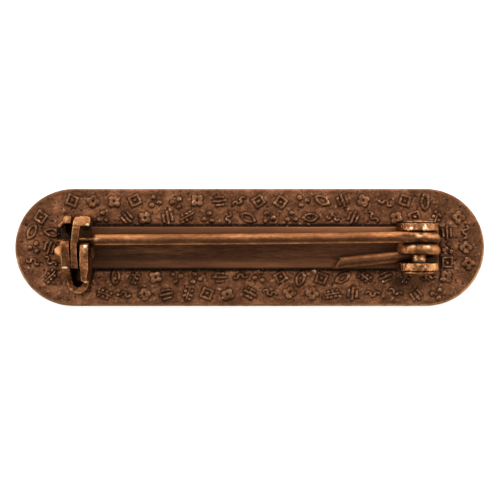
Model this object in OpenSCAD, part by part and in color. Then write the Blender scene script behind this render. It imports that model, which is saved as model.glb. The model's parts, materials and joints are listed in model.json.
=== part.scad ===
// Bar badge lying on its face, seen from the back, with a riveted brooch pin and a locking catch.
// Units are millimetres. X runs along the badge from the catch to the hinge, Z points out of the back.
// The origin is on the resting surface under the middle of the badge.

/* [Plate] */
// Length of the badge over its round ends
plate_l = 44; // [42:1:56]
// Width of the badge
plate_w = 11; // [10.6:0.2:12]
// Thickness of the plate
plate_t = 1.6; // [1.4:0.1:2.4]
// Bevel round both edges of the plate
edge_bevel = 0.16; // [0.08:0.02:0.3]

/* [Cast relief] */
// Height of the relief on the back
relief_h = 0.12; // [0.06:0.02:0.2]
// Distance between motifs along the badge
motif_pitch = 1.95; // [1.85:0.05:2.6]
// Width of the raised lines
line_w = 0.18; // [0.14:0.02:0.22]

/* [Brooch strip] */
// Width of the strip soldered to the back
strip_w = 3.9; // [3.7:0.1:4.1]
// Thickness of the strip
strip_t = 0.7; // [0.5:0.05:0.9]

/* [Hinge] */
// Distance from the hinge axis to the end of the badge
hinge_inset = 6.45; // [6:0.05:7]
// Radius of the rounded ears
ear_r = 1.85; // [1.7:0.05:1.95]
// Thickness of each ear
ear_t = 0.68; // [0.5:0.02:0.8]
// Radius of the hinge rivet
rivet_r = 0.64; // [0.5:0.02:0.75]
// Radius of the hinge rivet's heads
head_r = 1.48; // [1.2:0.02:1.6]
// Thickness of the hinge rivet's heads
head_t = 0.34; // [0.2:0.02:0.5]

/* [Pin wire] */
// Diameter of the wire
wire_d = 1.05; // [0.9:0.01:1.06]
// Radius of the coil at the middle of the wire
coil_r = 1.475; // [1.4:0.005:1.5]
// Distance between neighbouring turns of the coil
coil_pitch = 1.1; // [1.1:0.01:1.14]
// Length of the tail that lies on the strip
tail_l = 7.4; // [5:0.2:9]
// Length of the ground point of the needle
point_l = 2; // [1.8:0.1:2.4]

/* [Catch] */
// Distance from the middle of the catch to the end of the badge
catch_inset = 6.03; // [5.8:0.01:6.6]
// Height of the catch walls above the back
wall_h = 4.3; // [4.2:0.05:4.6]
// Thickness of the sheet that the catch is folded from
wall_t = 0.78; // [0.7:0.02:0.8]
// Thickness of the latch
latch_t = 0.66; // [0.5:0.02:0.7]
// Radius of the catch rivet
catch_rivet_r = 0.42; // [0.34:0.02:0.46]

/* [Hidden] */
$fn = 48;

bronze = [0.36, 0.24, 0.16];
worn_bronze = [0.60, 0.42, 0.28];
brass = [0.72, 0.52, 0.34];

// How far a fused piece sinks into what carries it, and the gap between pieces
sink = 0.1;
gap = 0.05;

end_r = plate_w / 2;
back_z = plate_t;
strip_top = back_z + strip_t;
hinge_x = plate_l / 2 - hinge_inset;
hinge_z = strip_top + gap + wire_d / 2 + coil_r;
catch_x = -plate_l / 2 + catch_inset;

// Place of the coil between the ears, where positive Y is the side of the needle
needle_y = 0.95;
ear_in_hi = needle_y + wire_d / 2 + gap;
ear_in_lo = needle_y - 1.5 * coil_pitch - wire_d / 2 - 4.5 * gap;
ears = [[ear_in_hi, 1], [ear_in_lo, -1]];

// Needle at the catch: how far off the middle line it lies, and its height above the back
needle_catch_y = 0.7;
needle_catch_h = 2.8;
// The needle ends under the latch's finger, in a thin point with a ground shoulder behind it
needle_tip_x = catch_x - 0.25;
tip_r = 0.09;
shoulder_l = 0.5;
shoulder_r = 0.24;

// Levels of the catch above the back, and its places across the badge
mouth_floor_h = 2.2;
fold_h = 1.8;
near_lip_y = 0.4;
far_lip_y = 0.7;
horn_y = 1.95;
far_horn_y = 2.2;
horn_end_y = 2.86;
wall_gap = 0.14;
wall_in = latch_t / 2 + wall_gap;
wall_out = wall_in + wall_t;
fold_y = -3.28;
fold_shift = 0.07;
fold_in_r = 0.4;
fold_out_r = fold_in_r + 0.6;
// Where the top of the far and the near wall starts to fall towards the fold, and where it ends
far_fall = [-1.85, -3.0];
near_fall = [-2.95, -3.3];
// How far the end of the far horn is bent in towards the latch
horn_bend = 0.34;

// Axis of the catch rivet: its place across the badge and its height above the back
pivot_y = -0.29;
pivot_h = 2.2;
pivot_z = back_z + pivot_h;

// Cast relief: rows of motifs on each side of the strip, and their size
motif_r = 0.7;
row_ys = [-4.3, -2.78, 2.78, 4.3];
end_row_ys = [-1.4, 0, 1.4];
end_motif_x = plate_l / 2 - 3.4;
columns = floor((plate_l / 2 - 1) / motif_pitch);
MOTIFS = 7;

function unit(v) = v / norm(v);

// A repeatable number from 0 to 1 for a place in the pattern
function scatter(i, j, k) = let (v = 43.7 * sin(127.1 * i + 311.7 * j + 74.7 * k + 19.3)) v - floor(v);

// Distance from a point to the nearest edge of the badge, positive inside
function inside_by(x, y) = end_r - norm([max(abs(x) - (plate_l / 2 - end_r), 0), y]);

// The back stays plain round the foot of the catch
function by_catch(x, y) = abs(x - catch_x) < wall_out + motif_r && y < horn_end_y + motif_r;

module bevelled_end() {
    profile = [[0, 0], [end_r - edge_bevel, 0], [end_r, edge_bevel], [end_r, plate_t - edge_bevel],
               [end_r - edge_bevel, plate_t], [0, plate_t]];
    translate([plate_l / 2 - end_r, 0, 0])
        rotate([0, 0, -90])
            rotate_extrude(angle = 180) polygon(profile);
}

module plate_blank() {
    straight_l = plate_l - 2 * end_r;
    flat_w = end_r - edge_bevel;
    section = [[-flat_w, 0], [flat_w, 0], [end_r, edge_bevel], [end_r, plate_t - edge_bevel],
               [flat_w, plate_t], [-flat_w, plate_t], [-end_r, plate_t - edge_bevel], [-end_r, edge_bevel]];
    bevelled_end();
    mirror([1, 0, 0]) bevelled_end();
    translate([-straight_l / 2, 0, 0])
        rotate([90, 0, 90])
            linear_extrude(straight_l) polygon(section);
}

module vesica(half_l, half_w) {
    r = (half_l * half_l + half_w * half_w) / (2 * half_w);
    intersection() {
        translate([0, r - half_w]) circle(r);
        translate([0, half_w - r]) circle(r);
    }
}

module leaf() {
    difference() {
        vesica(motif_r + 0.12, 0.42);
        vesica(motif_r - 0.18, 0.42 - line_w);
    }
}

module lozenge() {
    difference() {
        rotate(45) square(1.02, center = true);
        rotate(45) square(1.02 - 2 * line_w, center = true);
    }
    circle(0.13);
}

module berries() {
    for (a = [90, 210, 330])
        rotate(a) translate([0.42, 0]) circle(0.21);
}

module quatrefoil() {
    difference() {
        union() {
            for (a = [0:90:270])
                rotate(a) translate([0.34, 0]) circle(0.27);
            square(0.5, center = true);
        }
        circle(0.14);
    }
}

module half_ring(side) {
    out_r = 0.2 + line_w / 2;
    intersection() {
        difference() {
            circle(out_r);
            circle(out_r - line_w);
        }
        translate([-out_r, side > 0 ? 0 : -out_r]) square([2 * out_r, out_r]);
    }
}

module wave() {
    for (i = [-1, 0, 1])
        translate([i * 0.4, 0]) half_ring(i == 0 ? -1 : 1);
}

module dashes() {
    for (i = [-1, 0, 1])
        translate([0, i * 0.38]) square([i == 0 ? 1.3 : 0.8, line_w], center = true);
}

module sprig() {
    square([1.4, line_w * 0.8], center = true);
    for (x = [-0.42, 0, 0.42], side = [-1, 1])
        translate([x + side * 0.1, side * 0.28]) circle(0.13);
}

module motif(kind) {
    if (kind == 0) leaf();
    if (kind == 1) lozenge();
    if (kind == 2) berries();
    if (kind == 3) wave();
    if (kind == 4) quatrefoil();
    if (kind == 5) dashes();
    if (kind == 6) sprig();
}

module placed_motif(i, j, x, y) {
    px = x + 0.36 * (scatter(i, j, 1) - 0.5);
    py = y + 0.24 * (scatter(i, j, 2) - 0.5);
    if (inside_by(px, py) > motif_r + 0.3 && !by_catch(px, py))
        translate([px, py, back_z - sink])
            rotate(360 * scatter(i, j, 3))
                linear_extrude(relief_h + sink) motif(floor(MOTIFS * scatter(i, j, 4)));
}

module relief() {
    for (j = [0:len(row_ys) - 1], i = [-columns:columns])
        placed_motif(i, j, (i + (j % 2) / 2) * motif_pitch, row_ys[j]);
    for (j = [0:len(end_row_ys) - 1], side = [-1, 1], n = [0, 1])
        placed_motif(side * (n + 1), j + 10, side * (end_motif_x + n * 1.7), end_row_ys[j]);
}

module strip() {
    left = catch_x + wall_in + 0.3;
    right = hinge_x + ear_r + 0.25;
    translate([left, -strip_w / 2, back_z - sink])
        cube([right - left, strip_w, strip_t + sink]);
}

// Extrude a profile drawn in Y and height above the back along X
module side_extrude(x, length) {
    translate([x, 0, back_z]) rotate([90, 0, 90]) linear_extrude(length) children();
}

// A rod or bore along Y at the hinge axis
module hinge_rod(r, y0, y1) {
    translate([hinge_x, y1, hinge_z]) rotate([90, 0, 0]) cylinder(h = y1 - y0, r = r);
}

module ear(inner_y, side) {
    y0 = side > 0 ? inner_y : inner_y - ear_t;
    difference() {
        union() {
            hinge_rod(ear_r, y0, y0 + ear_t);
            translate([hinge_x - ear_r + 0.02, y0, back_z - sink])
                cube([2 * ear_r - 0.04, ear_t, hinge_z - back_z + sink]);
        }
        hinge_rod(rivet_r + gap / 2, y0 - 1, y0 + ear_t + 1);
    }
}

// Plan of the two walls and of the fold between them
module far_wall_plan() {
    polygon([[-wall_in, fold_y + 0.7], [-fold_in_r + fold_shift, fold_y], [-fold_out_r + fold_shift, fold_y],
             [-wall_out + 0.1, far_fall[0]], [-wall_out, near_lip_y], [-wall_out - 0.24, horn_y],
             [-wall_out + horn_bend / 2, horn_y + 0.5], [-wall_out + horn_bend, horn_end_y],
             [-wall_in + horn_bend - 0.1, horn_end_y], [-wall_in + 0.04, horn_y], [-wall_in, near_lip_y]]);
}

module near_wall_plan() {
    polygon([[wall_in, fold_y + 0.7], [wall_in, horn_end_y], [wall_out, horn_end_y], [wall_out, near_fall[0]],
             [fold_out_r + fold_shift, fold_y], [fold_in_r + fold_shift, fold_y]]);
}

module fold_plan() {
    translate([fold_shift, fold_y])
        intersection() {
            difference() {
                circle(fold_out_r);
                circle(fold_in_r);
            }
            translate([-2, -4]) square([4, 4]);
        }
}

// Side view of a wall, with its mouth open upwards for the needle
module wall_profile(fall, lip, horn) {
    polygon([[fold_y - 0.2, -sink], [fold_y - 0.2, fold_h], [fall[1], fold_h], [fall[0] - 0.12, wall_h - 0.2],
             [fall[0] + 0.1, wall_h], [lip - 0.1, wall_h], [lip, wall_h - 0.1], [lip, mouth_floor_h + 0.15],
             [lip + 0.15, mouth_floor_h], [horn - 0.4, mouth_floor_h], [horn, mouth_floor_h + 0.4],
             [horn, wall_h], [horn_end_y - 0.15, wall_h], [horn_end_y, wall_h - 0.25],
             [horn_end_y, -sink]]);
}

module catch_wall(fall, lip, horn) {
    intersection() {
        translate([catch_x, 0, 0]) linear_extrude(back_z + wall_h + 1) children();
        side_extrude(catch_x - 3, 6) wall_profile(fall, lip, horn);
    }
}

// A rod or bore along X at the catch rivet's axis
module pivot_rod(r, x0, x1) {
    translate([x0, pivot_y, pivot_z]) rotate([0, 90, 0]) cylinder(h = x1 - x0, r = r);
}

module catch_frame() {
    difference() {
        union() {
            catch_wall(far_fall, far_lip_y, far_horn_y) far_wall_plan();
            catch_wall(near_fall, near_lip_y, horn_y) near_wall_plan();
            translate([catch_x, 0, back_z - sink]) linear_extrude(fold_h + sink) fold_plan();
        }
        pivot_rod(catch_rivet_r + gap / 2, catch_x - 3, catch_x + 3);
    }
}

module badge_plate() {
    color(bronze) {
        plate_blank();
        relief();
        strip();
        for (e = ears)
            ear(e[0], e[1]);
        catch_frame();
    }
}

// A thin domed head that faces along Z
module domed_head(r, t) {
    rotate_extrude()
        polygon([[0, 0], [r - 0.06, 0], [r, 0.06], [r * 0.97, t * 0.5], [r * 0.8, t * 0.8],
                 [r * 0.45, t * 0.97], [0, t]]);
}

module hinge_rivet() {
    y_hi = ear_in_hi + ear_t + gap;
    y_lo = ear_in_lo - ear_t - gap;
    color(worn_bronze) {
        hinge_rod(rivet_r, y_lo - 0.02, y_hi + 0.02);
        translate([hinge_x, y_hi, hinge_z]) rotate([-90, 0, 0]) domed_head(head_r, head_t);
        translate([hinge_x, y_lo, hinge_z]) rotate([90, 0, 0]) domed_head(head_r, head_t + 0.06);
    }
}

// Path of the wire, from the point of the needle round the coil to the end of the tail
needle_run = hinge_x - catch_x;
needle_drop = hinge_z + coil_r - back_z - needle_catch_h;
needle_tilt = atan(needle_drop / needle_run);
needle_top = [hinge_x + coil_r * sin(-needle_tilt), needle_y, hinge_z + coil_r * cos(needle_tilt)];
needle_dir = unit([-needle_run, needle_catch_y - needle_y, -needle_drop]);
needle_l = (needle_top[0] - needle_tip_x) / -needle_dir[0];
coil_step = 15;
tail_end = [hinge_x - tail_l, needle_y - 1.5 * coil_pitch - 0.1 * tail_l, hinge_z - coil_r];
tail_cut = 0.42;
wire_sides = 14;

// The turns step sideways more under the rivet than over it
coil_lean = 0.16;

function needle_point(s) = needle_top + s * needle_dir;
function coil_side(a) = a > 0 ? coil_lean * sin(a) - coil_pitch * a / 360 : 0;
function coil_point(a) = [hinge_x + coil_r * sin(a), needle_y + coil_side(a), hinge_z + coil_r * cos(a)];

// Each row of the path is a point and the radius of the wire there
point_rows = [for (k = [[0, 0.35], [0.04, 0.8], [0.1, 1]]) [needle_point(needle_l - k[0]), tip_r * k[1]]];
needle_rows = [[needle_point(needle_l - point_l + shoulder_l), shoulder_r],
               [needle_point(needle_l - point_l), wire_d / 2], [needle_point(needle_l / 2), wire_d / 2]];
coil_angles = [-needle_tilt, coil_step / 2, for (a = [coil_step:coil_step:540]) a];
coil_rows = [for (a = coil_angles) [coil_point(a), wire_d / 2]];
tail_rows = [for (k = [0.5, 1]) [coil_point(540) + k * (tail_end - coil_point(540)), wire_d / 2]];
wire_rows = concat(point_rows, needle_rows, coil_rows, tail_rows);

function wire_heading(i) =
    unit(wire_rows[min(i + 1, len(wire_rows) - 1)][0] - wire_rows[max(i - 1, 0)][0]);

// One ring of the tube; the last ring is slanted where the tail was cut off
function wire_ring(i) =
    let (t = wire_heading(i), v = unit(cross(t, [0, 1, 0])), u = cross(v, t), r = wire_rows[i][1],
         slant = i == len(wire_rows) - 1 ? tail_cut : 0)
    [for (k = [0:wire_sides - 1])
        let (a = 360 * k / wire_sides, side = cos(a))
        wire_rows[i][0] + r * (side * u + sin(a) * v) - slant * side * t];

module pin_wire() {
    rings = len(wire_rows);
    points = [for (i = [0:rings - 1]) each wire_ring(i)];
    last = (rings - 1) * wire_sides;
    sides = [for (i = [0:rings - 2], k = [0:wire_sides - 1])
        let (a = i * wire_sides + k, b = i * wire_sides + (k + 1) % wire_sides)
        each [[a, b, b + wire_sides], [a, b + wire_sides, a + wire_sides]]];
    caps = [[for (k = [wire_sides - 1:-1:0]) k], [for (k = [0:wire_sides - 1]) last + k]];
    color(worn_bronze) polyhedron(points, concat(sides, caps));
}

module catch_rivet() {
    left = catch_x - wall_out - gap;
    right = catch_x + wall_out + gap;
    color(brass) {
        pivot_rod(catch_rivet_r, left - 0.02, right + 0.02);
        translate([left, pivot_y, pivot_z]) rotate([0, -90, 0]) cylinder(h = 0.8, r1 = 0.74, r2 = 0.2);
        translate([right, pivot_y, pivot_z]) rotate([0, 90, 0]) domed_head(0.74, 0.42);
    }
}

// Side view of the latch, drawn from the rivet's axis
module latch_profile() {
    tab_y = horn_end_y - pivot_y - 0.08;
    tab_h = wall_h - pivot_h + 0.1;
    difference() {
        union() {
            circle(0.9);
            polygon([[-0.85, 0], [0.6, 0.3], [0.6, 1.2], [2.1, tab_h - 0.15], [2.24, tab_h], [tab_y, tab_h],
                     [tab_y, tab_h + 0.64], [2.0, tab_h + 0.62], [0.6, 2.12], [-1.5, 2.05], [-1.6, 1.95],
                     [-1.6, 0.7]]);
        }
        circle(catch_rivet_r + gap / 2);
    }
}

// Plan of the latch from the middle of the catch: a flat body, a leaning finger and a thumb tab
module latch_plan() {
    t = latch_t / 2;
    polygon([[-t, -2.2], [t, -2.2], [t, 0.7], [t + 0.22, horn_y], [1.52, horn_y], [1.52, horn_end_y],
             [-t + 0.42, horn_end_y], [-t + 0.24, horn_y], [-t, 0.7]]);
}

module catch_latch() {
    color(worn_bronze)
        intersection() {
            translate([catch_x, 0, 0]) linear_extrude(back_z + wall_h + 3) latch_plan();
            translate([catch_x - 2, pivot_y, pivot_z]) rotate([90, 0, 90]) linear_extrude(5) latch_profile();
        }
}

badge_plate();
hinge_rivet();
pin_wire();
catch_rivet();
catch_latch();
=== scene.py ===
import json
import math

import bmesh
import bpy
import numpy as np
from mathutils import Matrix, Vector, noise
from mathutils.bvhtree import BVHTree


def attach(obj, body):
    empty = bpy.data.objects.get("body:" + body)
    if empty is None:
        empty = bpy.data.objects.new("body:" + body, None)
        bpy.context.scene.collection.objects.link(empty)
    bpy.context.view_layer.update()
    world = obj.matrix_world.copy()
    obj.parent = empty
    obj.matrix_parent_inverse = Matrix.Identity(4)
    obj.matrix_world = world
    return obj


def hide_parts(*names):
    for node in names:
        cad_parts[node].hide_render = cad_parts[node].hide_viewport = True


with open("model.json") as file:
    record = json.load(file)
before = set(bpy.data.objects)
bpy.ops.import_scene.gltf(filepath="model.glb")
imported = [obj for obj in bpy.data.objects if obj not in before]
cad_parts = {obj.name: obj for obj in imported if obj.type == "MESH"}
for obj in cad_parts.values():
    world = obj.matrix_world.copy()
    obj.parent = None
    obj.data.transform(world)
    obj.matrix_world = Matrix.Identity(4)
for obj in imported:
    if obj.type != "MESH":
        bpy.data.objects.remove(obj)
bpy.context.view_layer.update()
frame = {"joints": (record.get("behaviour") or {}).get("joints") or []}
joints = {joint["name"]: joint for joint in frame["joints"]}

# Lengths in this script are millimetres until a mesh is finished, and metres from then on
MM = 0.001
GAP = 0.05

# Places of the two joints
HINGE_X, _, HINGE_Z = [c / MM for c in joints["pin_hinge"]["pos_m"]]
CATCH_X, PIVOT_Y, PIVOT_Z = [c / MM for c in joints["latch_turn"]["pos_m"]]

# Plate: it is a hair shorter than the solid. Its points lie a step apart, or an end step round its ends,
# and what is soldered to it reaches down to its seat.
PLATE_L = 44.0
END_R = 5.5
BACK_Z = 1.6
EDGE_R = 0.16
FLAT_R = END_R - EDGE_R
EDGE_WAVER = 0.005
END_SHORT = 0.004
STATION_STEP = 0.082
END_STEP = STATION_STEP * 1.15
SEAT_Z = BACK_Z - 0.1
SIDE_DARKNESS = 0.55

# Cast relief, laid out as in the solid
RELIEF_H = 0.12
LINE_W = 0.18
DOT_R = 0.13
MOTIF_R = 0.7
MOTIF_PITCH = 1.95
ROW_YS = (-4.3, -2.78, 2.78, 4.3)
END_ROW_YS = (-1.4, 0.0, 1.4)
END_MOTIF_X = PLATE_L / 2 - 3.4
END_PITCH = 1.7
JITTER_X = 0.36
JITTER_Y = 0.24
RIM_MARGIN = 0.3

# Flaws of the casting
LINE_WAVER = 0.05
SWELL_H = 0.018
CRUMB_H = 0.016
PIMPLE_H = 0.035
NICK_H = 0.035

# Shadows painted on the back by the far mouth, by the ear and along the strip's lower edge:
# width, height and middle, the width of the soft edge, and the strength
PAINTED_SHADOWS = [((1.2, 1.15, -17.45, 1.36), 0.1, 1.0),
          ((0.9, 0.7, 13.9, -3.0), 0.7, 0.6),
          ((5.0, 0.2, 11.0, -2.2), 0.4, 0.6)]

# Hinge
EAR_R = 1.85
EAR_T = 0.68
RIVET_R = 0.64
HEAD_R = 1.48

# Pin wire: its coil, its tail, and its needle with a point, a shoulder and a slight bow
WIRE_R = 0.525
WIRE_DENT = 0.010
COIL_DENT = 0.022
COIL_R = 1.475
COIL_PITCH = 1.1
COIL_LEAN = 0.16
COIL_TURNS = 1.5
TAIL_L = 7.4
TAIL_LEAN = 0.1
TAIL_CUT = 0.42
NEEDLE_Y = 0.95
NEEDLE_BOW = 0.055
POINT_L = 2.0
SHOULDER_L = 0.5
SHOULDER_R = 0.24
TIP_R = 0.09
TIP_PAST_CATCH = 0.25
EAR_IN_HI = NEEDLE_Y + WIRE_R + GAP
EAR_IN_LO = NEEDLE_Y - COIL_TURNS * COIL_PITCH - WIRE_R - 4.5 * GAP

# The needle's line: its place and height above the back at the catch, and how it slopes from the coil
NEEDLE_CATCH_Y = 0.7
NEEDLE_CATCH_H = 2.8
NEEDLE_RUN = HINGE_X - CATCH_X
NEEDLE_DROP = HINGE_Z + COIL_R - BACK_Z - NEEDLE_CATCH_H
NEEDLE_TILT = math.atan(NEEDLE_DROP / NEEDLE_RUN)

# Catch: a sheet folded into a U round the latch, with heights above the back
WALL_H = 4.3
WALL_T = 0.78
LATCH_T = 0.66
LATCH_GAP = 0.14
WALL_MID = LATCH_T / 2 + LATCH_GAP + WALL_T / 2
WALL_OUT = WALL_MID + WALL_T / 2
CATCH_RIVET_R = 0.42
CATCH_BORE_R = CATCH_RIVET_R + 0.03
MOUTH_FLOOR_H = 2.2
FOLD_H = 1.8
FOLD_Y = -3.28
FOLD_R = 0.7
FOLD_T = 0.6
FOLD_SHIFT = 0.07

# Places across the badge of the mouths' lips and horns, and of where each wall's top falls to the fold
NEAR_LIP_Y = 0.4
FAR_LIP_Y = 0.7
HORN_Y = 1.95
FAR_HORN_Y = 2.2
HORN_END_Y = 2.86
FAR_FALL = (-1.85, -3.0)
NEAR_FALL = (-2.95, -3.3)

# Thumb tab of the latch
TAB_H = WALL_H + 0.1
TAB_T = 0.61
TAB_END_Y = HORN_END_Y - 0.08
TAB_OUT = 1.54

# Brooch strip, from under the catch to past the hinge
STRIP_W = 3.9
STRIP_TOP = BACK_Z + 0.7
STRIP_CORNER = 0.3
STRIP_LEFT = CATCH_X + LATCH_T / 2 + 0.44
STRIP_RIGHT = HINGE_X + EAR_R + 0.25

# Burrs at the wall ends: the start, the length and the radius
BURRS = [((-17.0, -1.88, 5.74), 0.38, 0.17),
         ((-15.08, -3.12, 4.72), 0.16, 0.2)]

# Places painted with a bright highlight, where the metal is also rubbed: the middle, the reach along and
# across the badge, and the strength
HIGHLIGHT_SPOTS = [
    # On the catch
    ((-14.07, 0.73, 5.0), (0.3, 0.24), 0.9),
    ((-15.0, 0.2, 5.9), (0.26, 0.42), 1.0),
    ((-15.07, -0.38, 5.9), (0.24, 0.2), 0.5),
    ((-16.8, -1.84, 5.9), (0.34, 0.16), 1.0),
    ((-15.04, -3.1, 5.0), (0.22, 0.18), 0.9),
    ((-14.68, 2.07, 6.6), (0.24, 0.2), 0.9),
    ((-17.75, -0.3, 3.8), (0.8, 0.8), 0.3),
    ((-15.85, -4.2, 3.4), (0.6, 0.14), 0.5),
    ((-16.5, -3.92, 3.4), (0.2, 0.2), 0.45),
    ((-16.0, 1.55, 6.3), (0.13, 0.3), 0.5),
    ((-16.15, 0.75, 6.1), (0.1, 0.3), 0.45),
    ((-15.4, 2.6, 6.6), (0.5, 0.1), 0.5),
    ((-16.75, 2.68, 5.9), (0.3, 0.12), 0.5),
    ((-15.8, 2.35, 6.6), (0.12, 0.12), 0.45),
    # On the hinge
    ((15.37, 1.05, 6.3), (0.42, 0.16), 1.0),
    ((14.82, 0.1, 6.2), (0.3, 0.16), 1.0),
    ((16.2, 0.06, 6.2), (0.36, 0.16), 0.9),
    ((15.9, 1.78, 6.2), (0.26, 0.55), 1.0),
    ((14.68, 1.78, 6.2), (0.26, 0.24), 1.0),
    ((14.3, 1.8, 6.1), (0.22, 0.18), 0.5),
    ((14.35, -1.66, 6.0), (0.24, 0.2), 0.6),
    ((15.3, -1.58, 6.2), (0.25, 0.2), 0.6),
    ((15.95, -1.75, 6.2), (0.16, 0.16), 0.6),
    ((16.75, -1.6, 5.8), (0.18, 0.3), 0.4),
    ((15.2, -0.83, 4.95), (0.18, 0.24), 0.7),
    ((15.75, -1.0, 4.95), (0.18, 0.18), 0.7),
]
HIGHLIGHT_SPOT_H = 0.5

# Shared by all the metals: grime and painted shade, the edge of a reflection, and the rim and the core of a
# painted highlight
SOOT_AND_SHADE = (0.019, 0.0125, 0.0085)
EDGE_TINT = (0.88, 0.66, 0.50, 1)
HIGHLIGHT_RIM = (0.80, 0.47, 0.21)
HIGHLIGHT_CORE = (0.96, 0.82, 0.60)
DIRT_AND_SHADE_ROUGH = 0.75
GLINT_ROUGH = 0.16

# Light tent across the badge, from the tail's side to the needle's side, and along it:
# the share of the way, and the brightness there
WORLD_ACROSS = [(0.0, 0.25), (0.05, 0.12), (0.165, 0.16), (0.325, 0.28), (0.4, 0.42), (0.45, 0.66),
                (0.5, 0.94), (0.6, 1.15), (0.735, 1.15), (0.85, 1.0), (0.935, 1.1), (1.0, 1.4)]
WORLD_ALONG = [(0.0, 1.4), (0.1, 0.9), (0.25, 0.25), (0.4, 0.0), (0.6, 0.0), (0.75, 0.25), (0.9, 0.9),
               (1.0, 1.4)]

# Camera: the photo is 500 pixels wide, and the plate's length spans 469.4 of them
IMAGE_PX = 500
PLATE_PX = 469.4
CAMERA_X = 0.028
CAMERA_Y = -0.232
CAMERA_UP = 145.0


# Numbers and noise

def scatter(i, j, k):
    """A repeatable number from 0 to 1 for a place in the pattern, as in the solid."""
    v = 43.7 * math.sin(math.radians(127.1 * i + 311.7 * j + 74.7 * k + 19.3))
    return v - math.floor(v)


def smoothstep(lo, hi, v):
    """A smooth rise from 0 at lo to 1 at hi, or a smooth fall from 1 where lo is the greater."""
    t = np.clip((v - lo) / (hi - lo), 0.0, 1.0)
    return t * t * (3 - 2 * t)


def grain(x, y, scale, seed):
    """Smooth noise from -1 to 1 at the given size of grain."""
    return np.array([noise.noise((a / scale, b / scale, seed)) for a, b in zip(x, y)])


# Distances to the raised lines of each motif, negative inside them

def circle(x, y, r, cx=0.0, cy=0.0):
    return np.hypot(x - cx, y - cy) - r


def slab(x, y, w, h, cx=0.0, cy=0.0):
    return np.maximum(np.abs(x - cx) - w / 2, np.abs(y - cy) - h / 2)


def vesica(x, y, half_l, half_w):
    r = (half_l ** 2 + half_w ** 2) / (2 * half_w)
    return np.maximum(circle(x, y, r, 0, r - half_w), circle(x, y, r, 0, half_w - r))


def leaf(x, y):
    half_w = 0.42
    inner = vesica(x, y, MOTIF_R - 0.18, half_w - LINE_W)
    return np.maximum(vesica(x, y, MOTIF_R + 0.12, half_w), -inner)


def lozenge(x, y):
    u, v = (x + y) / math.sqrt(2), (y - x) / math.sqrt(2)
    side = 1.02
    hole = side - 2 * LINE_W
    outline = np.maximum(slab(u, v, side, side), -slab(u, v, hole, hole))
    return np.minimum(outline, circle(x, y, DOT_R))


def berries(x, y):
    out, berry_r = 0.42, 0.21
    places = [(out * math.cos(math.radians(a)), out * math.sin(math.radians(a))) for a in (90, 210, 330)]
    return np.minimum.reduce([circle(x, y, berry_r, *place) for place in places])


def wave(x, y):
    bend_r = 0.2
    arcs = []
    for i in (-1, 0, 1):
        side = -1 if i == 0 else 1
        loop = np.abs(circle(x, y, bend_r, i * 2 * bend_r)) - LINE_W / 2
        arcs.append(np.maximum(loop, -side * y))
    return np.minimum.reduce(arcs)


def quatrefoil(x, y):
    out, lobe_r, heart_w, hole_r = 0.34, 0.27, 0.5, 0.14
    lobes = [circle(x, y, lobe_r, out * c, out * s) for c, s in ((1, 0), (0, 1), (-1, 0), (0, -1))]
    return np.maximum(np.minimum.reduce([*lobes, slab(x, y, heart_w, heart_w)]), -circle(x, y, hole_r))


def dashes(x, y):
    pitch = 0.38
    return np.minimum.reduce([slab(x, y, length, LINE_W, 0, i * pitch)
                              for i, length in ((-1, 0.8), (0, 1.3), (1, 0.8))])


def sprig(x, y):
    pitch, out, slant, stem_l = 0.42, 0.28, 0.1, 1.4
    dots = [circle(x, y, DOT_R, i * pitch + side * slant, side * out)
            for i in (-1, 0, 1) for side in (-1, 1)]
    return np.minimum.reduce([slab(x, y, stem_l, LINE_W * 0.8), *dots])


MOTIF_LINES = (leaf, lozenge, berries, wave, quatrefoil, dashes, sprig)


def motif_places():
    """Each motif's place, turn and kind, by the same rule as in the solid."""
    slots = []
    columns = math.floor((PLATE_L / 2 - 1) / MOTIF_PITCH)
    for j, row_y in enumerate(ROW_YS):
        for i in range(-columns, columns + 1):
            slots.append((i, j, (i + (j % 2) / 2) * MOTIF_PITCH, row_y))
    for j, row_y in enumerate(END_ROW_YS):
        for side in (-1, 1):
            for n in (0, 1):
                slots.append((side * (n + 1), j + 10, side * (END_MOTIF_X + n * END_PITCH), row_y))
    for i, j, x, y in slots:
        px = x + JITTER_X * (scatter(i, j, 1) - 0.5)
        py = y + JITTER_Y * (scatter(i, j, 2) - 0.5)
        inside_by = END_R - math.hypot(max(abs(px) - (PLATE_L / 2 - END_R), 0), py)
        by_catch = abs(px - CATCH_X) < WALL_OUT + MOTIF_R and py < HORN_END_Y + MOTIF_R
        if inside_by > MOTIF_R + RIM_MARGIN and not by_catch:
            kind = math.floor(len(MOTIF_LINES) * scatter(i, j, 4))
            yield px, py, 2 * math.pi * scatter(i, j, 3), MOTIF_LINES[kind]


def relief(x, y):
    """Distance to the nearest raised line at each place on the back; the lines waver as a cast's do."""
    far_off = 9.0
    best = np.full(x.shape, far_off)
    waver_x = LINE_WAVER * grain(x, y, 0.6, 5.2)
    waver_y = LINE_WAVER * grain(x, y, 0.6, 6.7)
    for px, py, turn, lines in motif_places():
        near = np.flatnonzero(np.hypot(x - px, y - py) < MOTIF_R + 0.5)
        u = x[near] - px + waver_x[near]
        v = y[near] - py + waver_y[near]
        c, s = math.cos(turn), math.sin(turn)
        best[near] = np.minimum(best[near], lines(c * u + s * v, c * v - s * u))
    return best


# Points, skins and the marks on them

def ring_points(cx, cy, r, count=32):
    return [(cx + r * math.cos(2 * math.pi * k / count), cy + r * math.sin(2 * math.pi * k / count))
            for k in range(count)]


def arc_points(cx, cy, r, a0, a1, count):
    """Points on an arc, with the angles in degrees."""
    return [(cx + r * math.cos(math.radians(a)), cy + r * math.sin(math.radians(a)))
            for a in np.linspace(a0, a1, count)]


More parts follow.
